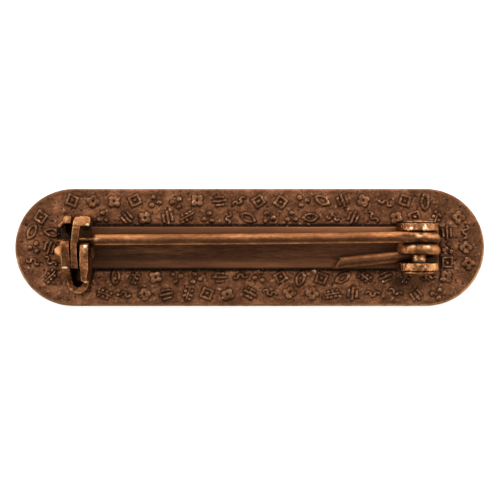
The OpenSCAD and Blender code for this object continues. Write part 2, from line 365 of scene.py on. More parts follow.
def ring_faces(n_rings, count):
    """Faces between closed rings of points, each ring with the same count."""
    faces = []
    for i in range(n_rings - 1):
        for k in range(count):
            a, b = i * count + k, i * count + (k + 1) % count
            faces.append((a, b, b + count, a + count))
    return faces


def vertex_places(mesh):
    return np.array([v.co for v in mesh.vertices])


def read_mark(mesh, name):
    values = np.zeros(len(mesh.vertices))
    mesh.attributes[name].data.foreach_get("value", values)
    return values


def write_mark(mesh, name, values):
    """Keep a value for each vertex, which the metals read: worn metal with painted highlights, grime with
    painted shade, or a painted highlight on rubbed spots.
    """
    if name not in mesh.attributes:
        mesh.attributes.new(name, "FLOAT", "POINT")
    mesh.attributes[name].data.foreach_set("value", values)


def face_out(mesh, weld=0.0):
    """Turn every face outwards, once points that lie within the weld's width are joined."""
    bm = bmesh.new()
    bm.from_mesh(mesh)
    if weld:
        bmesh.ops.remove_doubles(bm, verts=bm.verts, dist=weld)
    bmesh.ops.recalc_face_normals(bm, faces=bm.faces)
    bm.to_mesh(mesh)
    bm.free()


def add_prism(bm, outline, w0, w1, place, holes=()):
    """A prism over an outline in (u, v), from w0 to w1, with place(u, v, w) giving each point."""
    edges = []
    for loop in (outline, *holes):
        verts = [bm.verts.new((u, v, w0)) for u, v in loop]
        edges += [bm.edges.new((a, b)) for a, b in zip(verts, verts[1:] + verts[:1])]
    filled = bmesh.ops.triangle_fill(bm, edges=edges, use_beauty=True)
    faces = [g for g in filled["geom"] if isinstance(g, bmesh.types.BMFace)]
    grown = bmesh.ops.extrude_face_region(bm, geom=faces, use_keep_orig=True)
    moved = [g for g in grown["geom"] if isinstance(g, bmesh.types.BMVert)]
    for v in moved:
        v.co.z = w1
    own = {v for f in faces for v in f.verts} | set(moved)
    for v in own:
        v.co = place(*v.co)


def add_lathe(bm, profile, centre, axis, count=48):
    """A turned shape: each row of its profile is (distance from the centre along the axis, radius)."""
    least_r = 1e-4
    axis = Vector(axis).normalized()
    side = axis.orthogonal().normalized()
    other = axis.cross(side)
    made = []
    for t, r in profile:
        for k in range(count):
            a = 2 * math.pi * k / count
            out = side * math.cos(a) + other * math.sin(a)
            made.append(bm.verts.new(Vector(centre) + axis * t + out * max(r, least_r)))
    for face in ring_faces(len(profile), count):
        bm.faces.new([made[i] for i in face])
    bmesh.ops.remove_doubles(bm, verts=made, dist=10 * least_r)


def dome(r, t, flat):
    """A profile of a thin domed head, from its seat outwards."""
    arch = [math.radians(a) for a in range(0, 91, 10)]
    rise = [(flat + (t - flat) * math.sin(a), r * math.cos(a)) for a in arch]
    return [(0.0, 0.0), (0.0, r - 0.05), (0.05, r)] + rise


def one_skin(bm, voxel, rounds):
    """One closed skin over overlapping closed shapes, its edges softened in rounds."""
    bmesh.ops.recalc_face_normals(bm, faces=bm.faces)
    rough = bpy.data.meshes.new("rough")
    bm.to_mesh(rough)
    bm.free()
    maker = bpy.data.objects.new("maker", rough)
    bpy.context.collection.objects.link(maker)
    remesh = maker.modifiers.new("skin", "REMESH")
    remesh.mode = "VOXEL"
    remesh.voxel_size = voxel
    soften = maker.modifiers.new("soften", "SMOOTH")
    soften.factor = 0.5
    soften.iterations = rounds
    graph = bpy.context.evaluated_depsgraph_get()
    mesh = bpy.data.meshes.new_from_object(maker.evaluated_get(graph))
    bpy.data.objects.remove(maker)
    bpy.data.meshes.remove(rough)
    return mesh


def forged(bm, voxel, rounds, uneven, size=0.6, seed=0.0, bend=None, rubbed=None):
    """Hand-worked metal: a skin with slightly uneven faces, bent, and marked where it is worn, where it is
    hollow and where highlights are painted.
    """
    mesh = one_skin(bm, voxel, rounds)
    normals = [v.normal.copy() for v in mesh.vertices]
    for v, normal in zip(mesh.vertices, normals):
        place = v.co / size
        lift = noise.noise(place + Vector((seed, 0, 0)))
        lift += 0.4 * noise.noise(place * 2.7 + Vector((0, seed, 0)))
        co = v.co + normal * uneven * lift
        v.co = bend(co) if bend else co
    face_out(mesh)
    mark_wear_and_highlights(mesh, rubbed, seed)
    return mesh


def curvature(mesh):
    """How far each vertex stands out from those round it, smoothed; it is negative in a hollow."""
    bm = bmesh.new()
    bm.from_mesh(mesh)
    bm.normal_update()
    curve = np.zeros(len(bm.verts))
    around = []
    for i, v in enumerate(bm.verts):
        near = [e.other_vert(v) for e in v.link_edges]
        around.append([p.index for p in near])
        middle = sum((p.co for p in near), Vector()) / len(near)
        reach = sum((p.co - v.co).length for p in near) / len(near)
        curve[i] = (v.co - middle).dot(v.normal) / max(reach, 1e-9)
    bm.free()
    for _ in range(3):
        curve = np.array([0.5 * own + 0.5 * np.mean(curve[near]) for own, near in zip(curve, around)])
    return curve


def painted_highlights(places):
    """How brightly each place is painted with a highlight, from 0 to 1, in spots with ragged edges."""
    best = np.zeros(len(places))
    ragged = 1 + 0.35 * grain(places[:, 0], places[:, 1], 0.14, 3.3)
    for middle, reach, strength in HIGHLIGHT_SPOTS:
        off = (places - middle) / (*reach, max(*reach, HIGHLIGHT_SPOT_H))
        best = np.maximum(best, strength * smoothstep(1.0, 0.4, np.linalg.norm(off, axis=1) * ragged))
    return best


def mark_wear_and_highlights(mesh, rubbed=None, seed=0.0):
    """Mark where a skin is convex, where highlights are painted on it, where it is rubbed in patches on top,
    and where it is hollow.
    """
    curve = curvature(mesh)
    places = vertex_places(mesh)
    x, y, _ = places.T
    patches = 0.5 + 0.5 * smoothstep(-0.3, 0.3, grain(x, y, 0.4, seed))
    wear_and_highlight = 0.7 * smoothstep(0.02, 0.14, curve) * patches
    if rubbed:
        up = smoothstep(0.3, 0.8, np.array([v.normal.z for v in mesh.vertices]))
        wear_and_highlight = np.maximum(wear_and_highlight, rubbed(x, y, up) * patches)
    polish_and_highlight = painted_highlights(places)
    write_mark(mesh, "wear_and_highlight", np.maximum(wear_and_highlight, polish_and_highlight))
    write_mark(mesh, "grime_and_shade", smoothstep(0.02, 0.12, -curve))
    write_mark(mesh, "polish_and_highlight", polish_and_highlight)


def blacken(mesh, where):
    """Darken a skin at the places that where(x, y, z) names, from 0 to 1, as patina and as painted shade,
    and take away its worn marks and painted highlights there.
    """
    amount = where(*vertex_places(mesh).T)
    write_mark(mesh, "grime_and_shade", np.maximum(read_mark(mesh, "grime_and_shade"), amount))
    for name in ("wear_and_highlight", "polish_and_highlight"):
        write_mark(mesh, name, read_mark(mesh, name) * (1 - amount))


def darken_towards_foot(mesh, upper_z, dark_z, amount):
    """Darken a skin towards its foot, and leave its painted highlights as they are."""
    polish_and_highlight = read_mark(mesh, "polish_and_highlight")
    blacken(mesh, lambda x, y, z: amount * smoothstep(upper_z, dark_z, z))
    write_mark(mesh, "polish_and_highlight", polish_and_highlight)


def finish_mesh(name, mesh, material, body):
    """Turn a mesh in millimetres into a piece of the model in metres."""
    mesh.transform(Matrix.Scale(MM, 4))
    mesh.name = name
    mesh.materials.clear()
    mesh.materials.append(material)
    mesh.polygons.foreach_set("use_smooth", [True] * len(mesh.polygons))
    mesh.update()
    piece = bpy.data.objects.new(name, mesh)
    bpy.context.collection.objects.link(piece)
    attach(piece, body)
    return piece


# Plate

def plate_loop():
    """Once round the badge: where each point's way out starts on the middle line, and its direction."""
    half = PLATE_L / 2 - END_R - END_SHORT
    n_side = round(2 * half / STATION_STEP)
    n_end = round(math.pi * END_R / END_STEP)
    along = np.linspace(-half, half, n_side, endpoint=False)
    turn = np.linspace(math.pi / 2, -math.pi / 2, n_end, endpoint=False)
    start_x = np.concatenate([along, np.full(n_end, half), -along, np.full(n_end, -half)])
    out_x = np.concatenate([np.zeros(n_side), np.cos(turn), np.zeros(n_side), -np.cos(turn)])
    out_y = np.concatenate([np.ones(n_side), np.sin(turn), -np.ones(n_side), -np.sin(turn)])
    return start_x, out_x, out_y


def plate_rows():
    """Each ring's reach and height, out over the back and in again below, and how many lie on the back."""
    back = [(reach, BACK_Z) for reach in np.linspace(0, FLAT_R, round(FLAT_R / STATION_STEP))]
    bend = [(FLAT_R + EDGE_R * math.sin(a), EDGE_R * (1 - math.cos(a)))
            for a in (math.radians(30), math.radians(60), math.radians(90))]
    upper = [(reach, BACK_Z - fall) for reach, fall in bend]
    front = [(FLAT_R, 0.0), (FLAT_R / 2, 0.0), (0.0, 0.0)]
    return np.array(back + upper + [(END_R, BACK_Z / 2)] + bend[::-1] + front), len(back)


def cast_back(x, y, reach):
    """The rise of the cast relief and its flaws at places on the back, how worn and how grimy they are, and
    the shade painted there by the strip and the parts soldered on.
    """
    lines = relief(x, y)
    fade = 1 - smoothstep(FLAT_R - 0.35, FLAT_R - 0.05, reach)
    raised = smoothstep(-0.05, 0.04, -lines)
    swells = grain(x, y, 2.6, 3.1)
    crumbs = grain(x, y, 0.5, 8.4)
    pimples = smoothstep(0.3, 0.55, grain(x, y, 0.27, 2.3))
    nicks = smoothstep(0.32, 0.55, grain(x, y, 0.33, 9.9))
    rise = RELIEF_H * raised + SWELL_H * swells + CRUMB_H * crumbs + PIMPLE_H * pimples - NICK_H * nicks
    wear_and_highlight = np.maximum(raised * smoothstep(-0.5, 0.4, crumbs), 0.8 * pimples)
    by_lines = np.maximum(smoothstep(0.2, 0.04, lines) * (1 - raised), 0.8 * nicks)
    # Shadows painted by the far mouth, the ear and the strip.
    shadows = [most * smoothstep(soft, 0.0, slab(x, y, *place)) for place, soft, most in PAINTED_SHADOWS]
    # Grime in the strip's seam, and painted shade where the strip shades the back round it.
    strip_x = (STRIP_LEFT + STRIP_RIGHT) / 2
    strip_seam_and_shade = smoothstep(0.36, 0.22, slab(x, y, STRIP_RIGHT - STRIP_LEFT, STRIP_W, strip_x))
    return fade * rise, fade * wear_and_highlight, fade * np.maximum.reduce([by_lines, *shadows, strip_seam_and_shade])


def plate_mesh():
    """The plate: closed rings of points, from its middle line out to the edge and in again below."""
    start_x, out_x, out_y = plate_loop()
    rows, n_back = plate_rows()
    n = len(start_x)
    reach, height = np.repeat(rows, n, axis=0).T
    out_x, out_y = np.tile(out_x, len(rows)), np.tile(out_y, len(rows))
    x = np.tile(start_x, len(rows)) + reach * out_x
    y = reach * out_y
    z = height.copy()
    wear_and_highlight, grime_and_shade, polish_and_highlight = np.zeros((3, len(x)))
    back = slice(0, n_back * n)
    rise, wear_and_highlight[back], grime_and_shade[back] = cast_back(x[back], y[back], reach[back])
    z[back] += rise
    edge = np.flatnonzero(reach > FLAT_R)
    wavy = EDGE_WAVER * (1 + grain(x[edge], y[edge], 0.5, 4.4))
    x[edge] -= wavy * out_x[edge]
    y[edge] -= wavy * out_y[edge]
    # The plate's sides below the back are darker.
    grime_and_shade[(height < BACK_Z * 0.9) & (reach > FLAT_R)] = SIDE_DARKNESS
    # The rim is worn in a broken line, and its lower side is painted lighter, with a painted highlight that
    # grows towards the hinge.
    rim = np.flatnonzero((height > BACK_Z - 0.1) & (reach > FLAT_R - 0.01))
    lit_low_side = smoothstep(0.4, -0.7, out_y[rim])
    worn_line = smoothstep(-0.9, 0.1, grain(x[rim], y[rim], 0.7, 12.5))
    wear_and_highlight[rim] = worn_line * (0.3 + 0.7 * lit_low_side)
    polish_and_highlight[rim] = worn_line * lit_low_side * (0.2 + 0.36 * smoothstep(2, 11, x[rim]))
    mesh = bpy.data.meshes.new("plate")
    mesh.from_pydata(np.stack([x, y, z], axis=1).tolist(), [], ring_faces(len(rows), n))
    for name, values in (("wear_and_highlight", wear_and_highlight), ("grime_and_shade", grime_and_shade), ("polish_and_highlight", polish_and_highlight)):
        write_mark(mesh, name, values)
    face_out(mesh, weld=1e-5)
    return mesh


# Strip and hinge

def strip_mesh():
    """The flat strip soldered to the back, from under the catch to past the hinge."""
    half_w = STRIP_W / 2
    outline = [(STRIP_LEFT, -half_w), (STRIP_RIGHT - STRIP_CORNER, -half_w),
               (STRIP_RIGHT, -half_w + STRIP_CORNER), (STRIP_RIGHT, half_w - STRIP_CORNER),
               (STRIP_RIGHT - STRIP_CORNER, half_w), (STRIP_LEFT, half_w)]
    bm = bmesh.new()
    add_prism(bm, outline, SEAT_Z, STRIP_TOP, lambda u, v, w: (u, v, w))
    mesh = forged(bm, voxel=0.085, rounds=3, uneven=0.012, size=1.6, seed=2.0)
    along, across, _ = vertex_places(mesh).T
    # Painted light: the strip's long edges are lighter than its middle, which the needle shades, the edge on
    # the needle's side the more; a painted shade darkens it towards the catch, which shades its left end.
    write_mark(mesh, "wear_and_highlight", smoothstep(0.9, 1.7, np.abs(across)) * np.where(across > 0, 1.0, 0.6))
    write_mark(mesh, "grime_and_shade", 0.5 * smoothstep(10.0, STRIP_LEFT, along))
    return mesh


def ear_mesh(inner_y, side):
    """One rounded ear of the hinge, bent up beside the strip."""
    y0, y1 = (inner_y, inner_y + EAR_T) if side > 0 else (inner_y - EAR_T, inner_y)
    foot = EAR_R - 0.03
    outline = arc_points(HINGE_X, HINGE_Z, EAR_R - 0.01, 180, 0, 30)
    outline += [(HINGE_X + foot, SEAT_Z), (HINGE_X - foot, SEAT_Z)]
    bore = ring_points(HINGE_X, HINGE_Z, RIVET_R + 0.02)
    bm = bmesh.new()
    add_prism(bm, outline, y0, y1, lambda u, v, w: (u, w, v), holes=[bore])
    return forged(bm, voxel=0.05, rounds=8, uneven=0.045, size=0.24, seed=5.0 + side,
                  rubbed=lambda x, y, up: 0.5 * up)


def hinge_rivet_mesh():
    """The rivet through both ears, with a thin domed head outside each of them."""
    y_hi = EAR_IN_HI + EAR_T + GAP
    y_lo = EAR_IN_LO - EAR_T - GAP
    shaft = [(0, 0), (0, RIVET_R), (y_hi - y_lo, RIVET_R), (y_hi - y_lo, 0)]
    bm = bmesh.new()
    add_lathe(bm, shaft, (HINGE_X, y_lo, HINGE_Z), (0, 1, 0))
    add_lathe(bm, dome(HEAD_R, 0.34, 0.12), (HINGE_X, y_hi - 0.02, HINGE_Z), (0, 1, 0))
    add_lathe(bm, dome(HEAD_R, 0.40, 0.14), (HINGE_X, y_lo + 0.02, HINGE_Z), (0, -1, 0))
    return forged(bm, voxel=0.05, rounds=4, uneven=0.02, size=0.5, seed=11.0)


# Pin wire

def needle_rows():
    """The needle as (point, radius), from its point back to the coil, slightly bowed from use."""
    top = Vector((HINGE_X - COIL_R * math.sin(NEEDLE_TILT), NEEDLE_Y,
                  HINGE_Z + COIL_R * math.cos(NEEDLE_TILT)))
    heading = Vector((-NEEDLE_RUN, NEEDLE_CATCH_Y - NEEDLE_Y, -NEEDLE_DROP)).normalized()
    length = (top.x - (CATCH_X - TIP_PAST_CATCH)) / -heading.x
    cone_l = POINT_L - SHOULDER_L
    tip = [(s, TIP_R * share) for s, share in ((0, 0.3), (0.03, 0.75), (0.08, 1))]
    cone = [(s, TIP_R + (SHOULDER_R - TIP_R) * s / cone_l) for s in np.linspace(0.15, cone_l, 16)]
    shoulder = [(POINT_L - SHOULDER_L * (1 - share), SHOULDER_R + (WIRE_R - SHOULDER_R) * share ** 0.75)
                for share in np.linspace(0.08, 1, 10)]
    shank = [(s, WIRE_R) for s in np.linspace(POINT_L + 0.2, length - 0.2, 150)]
    rows = []
    for s, r in tip + cone + shoulder + shank:
        bow = Vector((0, NEEDLE_BOW * math.sin(math.pi * s / length), 0))
        rows.append((top + heading * (length - s) - bow, r))
    return rows


def coil_rows():
    """The turns round the rivet, each a pitch nearer the tail's side and leaning a little."""
    rows = []
    for a in np.arange(-math.degrees(NEEDLE_TILT), 360 * COIL_TURNS + 0.1, 5):
        t = math.radians(a)
        side = COIL_LEAN * math.sin(t) - COIL_PITCH * a / 360 if a > 0 else 0.0
        turn = Vector((math.sin(t), 0, math.cos(t))) * COIL_R
        rows.append((Vector((HINGE_X, NEEDLE_Y + side, HINGE_Z)) + turn, WIRE_R))
    return rows


def tail_rows(start):
    """The straight tail, from the coil's end to a free end over the strip."""
    end_y = NEEDLE_Y - COIL_TURNS * COIL_PITCH - TAIL_LEAN * TAIL_L
    end = Vector((HINGE_X - TAIL_L, end_y, HINGE_Z - COIL_R))
    return [(start.lerp(end, k), WIRE_R) for k in np.linspace(0.03, 1, 40)]


def wire_skin(rows, sides=28):
    """A skin of dented wire round its path, more so at the coil, and cut on the slant at its end."""
    verts = []
    for i, (point, r) in enumerate(rows):
        ahead = (rows[min(i + 1, len(rows) - 1)][0] - rows[max(i - 1, 0)][0]).normalized()
        v = ahead.cross(Vector((0, 1, 0))).normalized()
        u = v.cross(ahead)
        slant = TAIL_CUT if i == len(rows) - 1 else 0.0
        coiled = float(smoothstep(HINGE_X - 2.2, HINGE_X - 1, point.x))
        for k in range(sides):
            a = 2 * math.pi * k / sides
            out = u * math.cos(a) + v * math.sin(a)
            dent = WIRE_DENT * noise.noise(point / 1.1 + out * 0.6)
            dent += WIRE_DENT / 2 * noise.noise(point / 0.3 + out)
            dent += COIL_DENT * coiled * noise.noise(point / 0.35 + out)
            dent *= min(r / WIRE_R, 1)
            verts.append(point + out * (r + dent) - ahead * slant * math.cos(a))
    faces = ring_faces(len(rows), sides)
    faces.append(tuple(range(sides - 1, -1, -1)))
    faces.append(tuple(range((len(rows) - 1) * sides, len(rows) * sides)))
    mesh = bpy.data.meshes.new("wire")
    mesh.from_pydata([tuple(v) for v in verts], [], faces)
    face_out(mesh)
    return mesh


def pin_wire_mesh():
    """The bent wire, with a painted shade on the side turned from the light, a painted highlight on the side
    turned to it, and a blotched coil.
    """
    rows = needle_rows() + coil_rows()
    mesh = wire_skin(rows + tail_rows(rows[-1][0]))
    mark_wear_and_highlights(mesh)
    darken_towards_foot(mesh, upper_z=4.0, dark_z=3.2, amount=0.4)
    x, y, z = vertex_places(mesh).T
    facing = np.array([v.normal.y for v in mesh.vertices])
    coil = smoothstep(HINGE_X - 2.4, HINGE_X - 1.4, x) * smoothstep(HINGE_Z, HINGE_Z + 0.8, z)
    blotch = grain(x + 0.7 * z, y, 0.42, 31.0)
    # Painted shade on the needle's side away from the light, and a painted highlight on its side towards the
    # light, more by the catch and along the tail.
    shaded_side = 0.62 * smoothstep(0.3, -0.1, facing) * smoothstep(-0.9, -0.4, facing) * (1 - 0.6 * coil)
    dull_blotch = 0.75 * coil * smoothstep(0.08, 0.4, -blotch)
    blacken(mesh, lambda *place: np.maximum(shaded_side, dull_blotch))
    by_catch = 0.1 + 0.4 * smoothstep(-8.0, -14.0, x)
    on_tail = 0.28 * smoothstep(3.6, 3.3, z)
    lit_side = np.maximum(by_catch, on_tail) * smoothstep(0.2, 0.55, facing) * (1 - coil)
    write_mark(mesh, "wear_and_highlight", np.maximum(lit_side, coil * smoothstep(-0.05, 0.3, blotch)))
    return mesh


# Catch

def catch_path():
    """The middle line of the folded sheet in plan, from the far lip round the fold to the near horn."""
    far = [(-0.88, FAR_LIP_Y), (-0.84, -0.6), (-0.79, -1.6), (-0.75, -2.4)]
    bend = arc_points(FOLD_SHIFT, FOLD_Y, FOLD_R, 180, 360, 24)
    near = [(WALL_MID - 0.03, -2.5), (WALL_MID, -1.8), (WALL_MID, HORN_END_Y)]
    points = [Vector((CATCH_X + x, y)) for x, y in far + bend + near]
    step = 0.04
    fine = []
    for a, b in zip(points, points[1:]):
        steps = max(2, round((b - a).length / step))
        fine += [a.lerp(b, k / steps) for k in range(steps)]
    fine.append(points[-1])
    for _ in range(24):
        inner = [(p + q * 2 + r) / 4 for p, q, r in zip(fine, fine[1:], fine[2:])]
        fine = [fine[0]] + inner + [fine[-1]]
    return fine


def wall_top(lip, fall):
    """The top of a wall from its lip to the fold, as (place across the badge, height above the back)."""
    return [(lip, WALL_H - 0.4), (lip - 0.16, WALL_H - 0.14), (lip - 0.6, WALL_H),
            (fall[0] + 0.15, WALL_H), (fall[0] - 0.12, WALL_H - 0.25), (fall[1], FOLD_H + 0.1),
            (FOLD_Y - 0.25, FOLD_H)]


def near_mouth():
    """The near wall from its horn down into its mouth and up to the lip, as in wall_top."""
    return [(HORN_END_Y, 0), (HORN_END_Y, WALL_H - 0.3), (HORN_END_Y - 0.2, WALL_H), (HORN_Y + 0.12, WALL_H),
            (HORN_Y, WALL_H - 0.15), (HORN_Y, MOUTH_FLOOR_H + 0.5), (HORN_Y - 0.35, MOUTH_FLOOR_H),
            (NEAR_LIP_Y + 0.25, MOUTH_FLOOR_H), (NEAR_LIP_Y, MOUTH_FLOOR_H + 0.25)]


def sheet_thickness(y, inner):
    """The share of its full thickness that the sheet has: less at the fold and inside by it."""
    share = 1 - (1 - FOLD_T / WALL_T) * float(smoothstep(-2.0, -3.1, y))
    if inner:
        share -= 0.25 * float(smoothstep(-1.7, -2.3, y) * smoothstep(-3.7, -3.3, y))
    return share


def folded_sheet():
    """The catch's sheet: one wall cut flat with its mouth, folded into a U round the latch."""
    path = catch_path()
    run = np.concatenate([[0], np.cumsum([(b - a).length for a, b in zip(path, path[1:])])])
    low = min(range(len(path)), key=lambda k: path[k].y)
    far_y = [path[k].y for k in range(low, -1, -1)]
    near_y = [path[k].y for k in range(low, len(path))]

    def far_s(y):
        return float(np.interp(y, far_y, run[low::-1]))

    def near_s(y):
        return float(np.interp(y, near_y, run[low:]))

    def fold(co):
        """Carry a point of the flat sheet onto the folded one."""
        s = min(max(co.x, 0.0), run[-1])
        k = min(int(np.searchsorted(run, s, side="right")) - 1, len(path) - 2)
        a, b = path[k], path[k + 1]
        t = (s - run[k]) / max(run[k + 1] - run[k], 1e-9)
        before = (b - path[max(k - 1, 0)]).normalized()
        after = (path[min(k + 2, len(path) - 1)] - a).normalized()
        ahead = before.lerp(after, t).normalized()
        across = Vector((-ahead.y, ahead.x))
        at = a.lerp(b, t) + ahead * (co.x - s) + across * co.z * sheet_thickness(a.y, inner=co.z > 0)
        return Vector((at.x, at.y, BACK_Z + co.y))

    far = [(far_s(y), h) for y, h in [(FAR_LIP_Y, 0), *wall_top(FAR_LIP_Y, FAR_FALL)]]
    near = [(near_s(y), h) for y, h in [*near_mouth(), *wall_top(NEAR_LIP_Y, NEAR_FALL)]]
    bores = [ring_points(s, PIVOT_Z - BACK_Z, CATCH_BORE_R, 24) for s in (far_s(PIVOT_Y), near_s(PIVOT_Y))]
    bm = bmesh.new()
    add_prism(bm, far + near[::-1], -WALL_T / 2, WALL_T / 2, lambda u, v, w: (u, v, w), holes=bores)
    return forged(bm, voxel=0.055, rounds=2, uneven=0.0, bend=fold)


def add_far_mouth(bm):
    """The far mouth's floor, the bowed arm beside it and the horn, each as a plan and a height."""
    floor = [(-1.26, 0.6), (-1.46, 1.3), (-1.49, HORN_Y + 0.05), (-1.1, 2.1), (-1.0, 1.4), (-0.47, 0.9),
             (-0.47, 0.6)]
    arm = [(-1.50, HORN_Y - 0.06), (-1.50, HORN_Y + 0.06), (-1.1, 2.38), (-0.9, 2.6), (-0.8, 2.26),
           (-1.02, 2.14), (-1.3, HORN_Y - 0.16)]
    horn = [(-1.05, FAR_HORN_Y + 0.06), (-1.02, 2.5), (-0.9, HORN_END_Y), (-0.24, HORN_END_Y),
            (-0.33, FAR_HORN_Y), (-0.9, FAR_HORN_Y)]
    for plan, top in ((floor, MOUTH_FLOOR_H), (arm, WALL_H - 0.12), (horn, WALL_H)):
        add_prism(bm, plan, SEAT_Z, BACK_Z + top, lambda u, v, w: (CATCH_X + u, v, w))


def add_burrs(bm):
    """The small beads at the ends of the walls."""
    for start, length, r in BURRS:
        bead = [(-r, 0), (-0.7 * r, 0.7 * r), (0, r), (length, r), (length + 0.7 * r, 0.7 * r),
                (length + r, 0)]
        add_lathe(bm, bead, start, (1, 0, 0), 16)


def catch_rubbed_and_lit(x, y, up):
    """The horns and the upper part of the near wall are rubbed most, and the fold's lower rim is painted
    with a highlight.
    """
    near = np.where(x > CATCH_X, 0.05 + 0.45 * smoothstep(-1.5, 0.1, y), 0.0)
    horns = smoothstep(HORN_Y - 0.2, HORN_Y + 0.1, y)
    fold_rim = smoothstep(FOLD_R + 0.08, FOLD_R + 0.2, np.hypot(x - CATCH_X - FOLD_SHIFT, y - FOLD_Y))
    # A painted highlight along the fold's lower rim.
    low = smoothstep(FOLD_Y + 0.1, FOLD_Y - 0.2, y) * fold_rim
    return np.maximum.reduce([near, low, horns]) * up


def catch_darkened(x, y, z):
    """Both mouths are painted black inside as shade, the far wall's slant is painted darker to dim the
    floor's reflection in it, and the lower tops are a little darker.
    """
    far = x < CATCH_X
    lip = np.where(far, FAR_LIP_Y, NEAR_LIP_Y)
    horn = np.where(far & (x > CATCH_X - 1.0), FAR_HORN_Y, HORN_Y)
    top_z = BACK_Z + WALL_H
    across = smoothstep(lip - 0.02, lip + 0.06, y) * smoothstep(horn + 0.04, horn - 0.04, y)
    # Painted shade inside both mouths.
    mouths = across * smoothstep(top_z - 0.25, top_z - 0.6, z) * np.where(far, 1.0, 0.8)
    far_wall = smoothstep(CATCH_X - 0.2, CATCH_X - 0.4, x)
    near_low = smoothstep(CATCH_X + 0.3, CATCH_X + 0.5, x) * smoothstep(-0.8, -1.8, y)
    slant = smoothstep(FAR_FALL[0] - 0.2, FAR_FALL[0] - 0.35, y)
    slant *= smoothstep(FAR_FALL[1] - 0.3, FAR_FALL[1], y)
    tops = 0.2 * far_wall + 0.3 * near_low
    tops *= smoothstep(NEAR_FALL[0], NEAR_FALL[0] + 0.2, y) * smoothstep(FAR_LIP_Y - 0.1, FAR_LIP_Y - 0.4, y)
    return np.maximum.reduce([mouths, 0.5 * slant * far_wall, tops])


def catch_frame_mesh():
    """The folded sheet, the far mouth with its bowed horn, and the burrs at the ends of the walls."""
    bm = bmesh.new()
    bm.from_mesh(folded_sheet())
    add_far_mouth(bm)
    add_burrs(bm)
    mesh = forged(bm, voxel=0.05, rounds=5, uneven=0.028, size=0.4, seed=17.0, rubbed=catch_rubbed_and_lit)
    darken_towards_foot(mesh, upper_z=4.2, dark_z=2.4, amount=0.6)
    blacken(mesh, catch_darkened)
    return mesh


def catch_rivet_mesh():
    """The rivet through catch and latch, with a cone on its far side and a thin dome on its near side."""
    left = CATCH_X - WALL_OUT - GAP
    right = CATCH_X + WALL_OUT + GAP
    shaft = [(0, 0), (0, CATCH_RIVET_R), (right - left, CATCH_RIVET_R), (right - left, 0)]
    cone = [(0, 0), (0, 0.70), (0.06, 0.74), (0.2, 0.66), (0.6, 0.36), (0.74, 0.24), (0.8, 0.1), (0.8, 0)]
    bm = bmesh.new()
    add_lathe(bm, shaft, (left, PIVOT_Y, PIVOT_Z), (1, 0, 0))
    add_lathe(bm, cone, (left + 0.02, PIVOT_Y, PIVOT_Z), (-1, 0, 0))
    add_lathe(bm, dome(0.74, 0.42, 0.2), (right - 0.02, PIVOT_Y, PIVOT_Z), (1, 0, 0))
    mesh = forged(bm, voxel=0.045, rounds=4, uneven=0.02, size=0.4, seed=13.0)

    def under_near_wall(x, y, z):
        return 0.8 * smoothstep(CATCH_X, CATCH_X + 0.5, x) * smoothstep(right + 0.5, right + 0.3, x)

    blacken(mesh, under_near_wall)
    return mesh


# Latch

def latch_outline():
    """The latch seen along its axis: a disc round the rivet, a finger over the needle and the tab's root."""
    y, h = PIVOT_Y, PIVOT_Z - BACK_Z
    disc = arc_points(y, h, 0.9, 215, 382, 24)
    under_finger = [(y + 0.62, h + 0.6), (y + 0.6, h + 1.2), (y + 2.05, TAB_H - 0.15)]
    end = [(y + 2.3, TAB_H + 0.05), (TAB_END_Y - 0.1, TAB_H + 0.05), (TAB_END_Y - 0.1, TAB_H + 0.45)]
    over = [(y + 2.1, TAB_H + 0.5), (y + 0.7, h + 2.15), (y - 1.45, h + 2.05), (y - 1.6, h + 1.9),
            (y - 1.6, h + 0.7)]
    return disc + under_finger + end + over


def tab_plan():
    """The bent thumb tab in plan, measured along the badge from the latch's middle."""
    return [(-0.07, HORN_Y + 0.02), (TAB_OUT - 0.12, HORN_Y - 0.02), (TAB_OUT, HORN_Y + 0.3),
            (TAB_OUT, TAB_END_Y - 0.08), (TAB_OUT - 0.08, TAB_END_Y), (0.2, TAB_END_Y),
            (0.02, TAB_END_Y - 0.3)]


def latch_mesh():
    """The latch: a flat body on the rivet, a finger over the needle and a bent thumb tab."""

    def leaning(u, v, w):
        """The finger leans towards the near wall."""
        lean = 0.24 * smoothstep(0.5, 1.95, u) + 0.18 * smoothstep(1.75, 2.8, u)
        return (CATCH_X + w + lean, u, BACK_Z + v)

    def hone(co):
        """The finger is filed thinner on its inner side, below the lip of the near wall."""
        filed = float(smoothstep(0.7, 0.2, co.y) * smoothstep(-1.7, -0.6, co.y))
        inner = float(smoothstep(CATCH_X, CATCH_X + LATCH_T / 2, co.x))
        return Vector((co.x - 0.11 * filed * inner, co.y, co.z))

    def rubbed(x, y, up):
        """The tab and the finger's upper part are rubbed most."""
        return up * (0.05 + 0.95 * smoothstep(-0.2, 1.4, y))

    bore = ring_points(PIVOT_Y, PIVOT_Z - BACK_Z, CATCH_BORE_R, 24)
    bm = bmesh.new()
    add_prism(bm, latch_outline(), -LATCH_T / 2, LATCH_T / 2, leaning, holes=[bore])
    add_prism(bm, tab_plan(), BACK_Z + TAB_H, BACK_Z + TAB_H + TAB_T, lambda u, v, w: (CATCH_X + u, v, w))
    return forged(bm, voxel=0.045, rounds=6, uneven=0.025, size=0.35, seed=23.0, rubbed=rubbed, bend=hone)


# Nodes

def feed(tree, socket, value):
    """Link a socket to another one, or set its value."""
    if isinstance(value, bpy.types.NodeSocket):
        tree.links.new(value, socket)
    else:
        socket.default_value = value


def add_node(tree, kind, **inputs):
    """A new node, with the inputs named; an underscore stands for a space."""
    node = tree.nodes.new(kind)
    for name, value in inputs.items():
        feed(tree, node.inputs[name.replace("_", " ")], value)
    return node


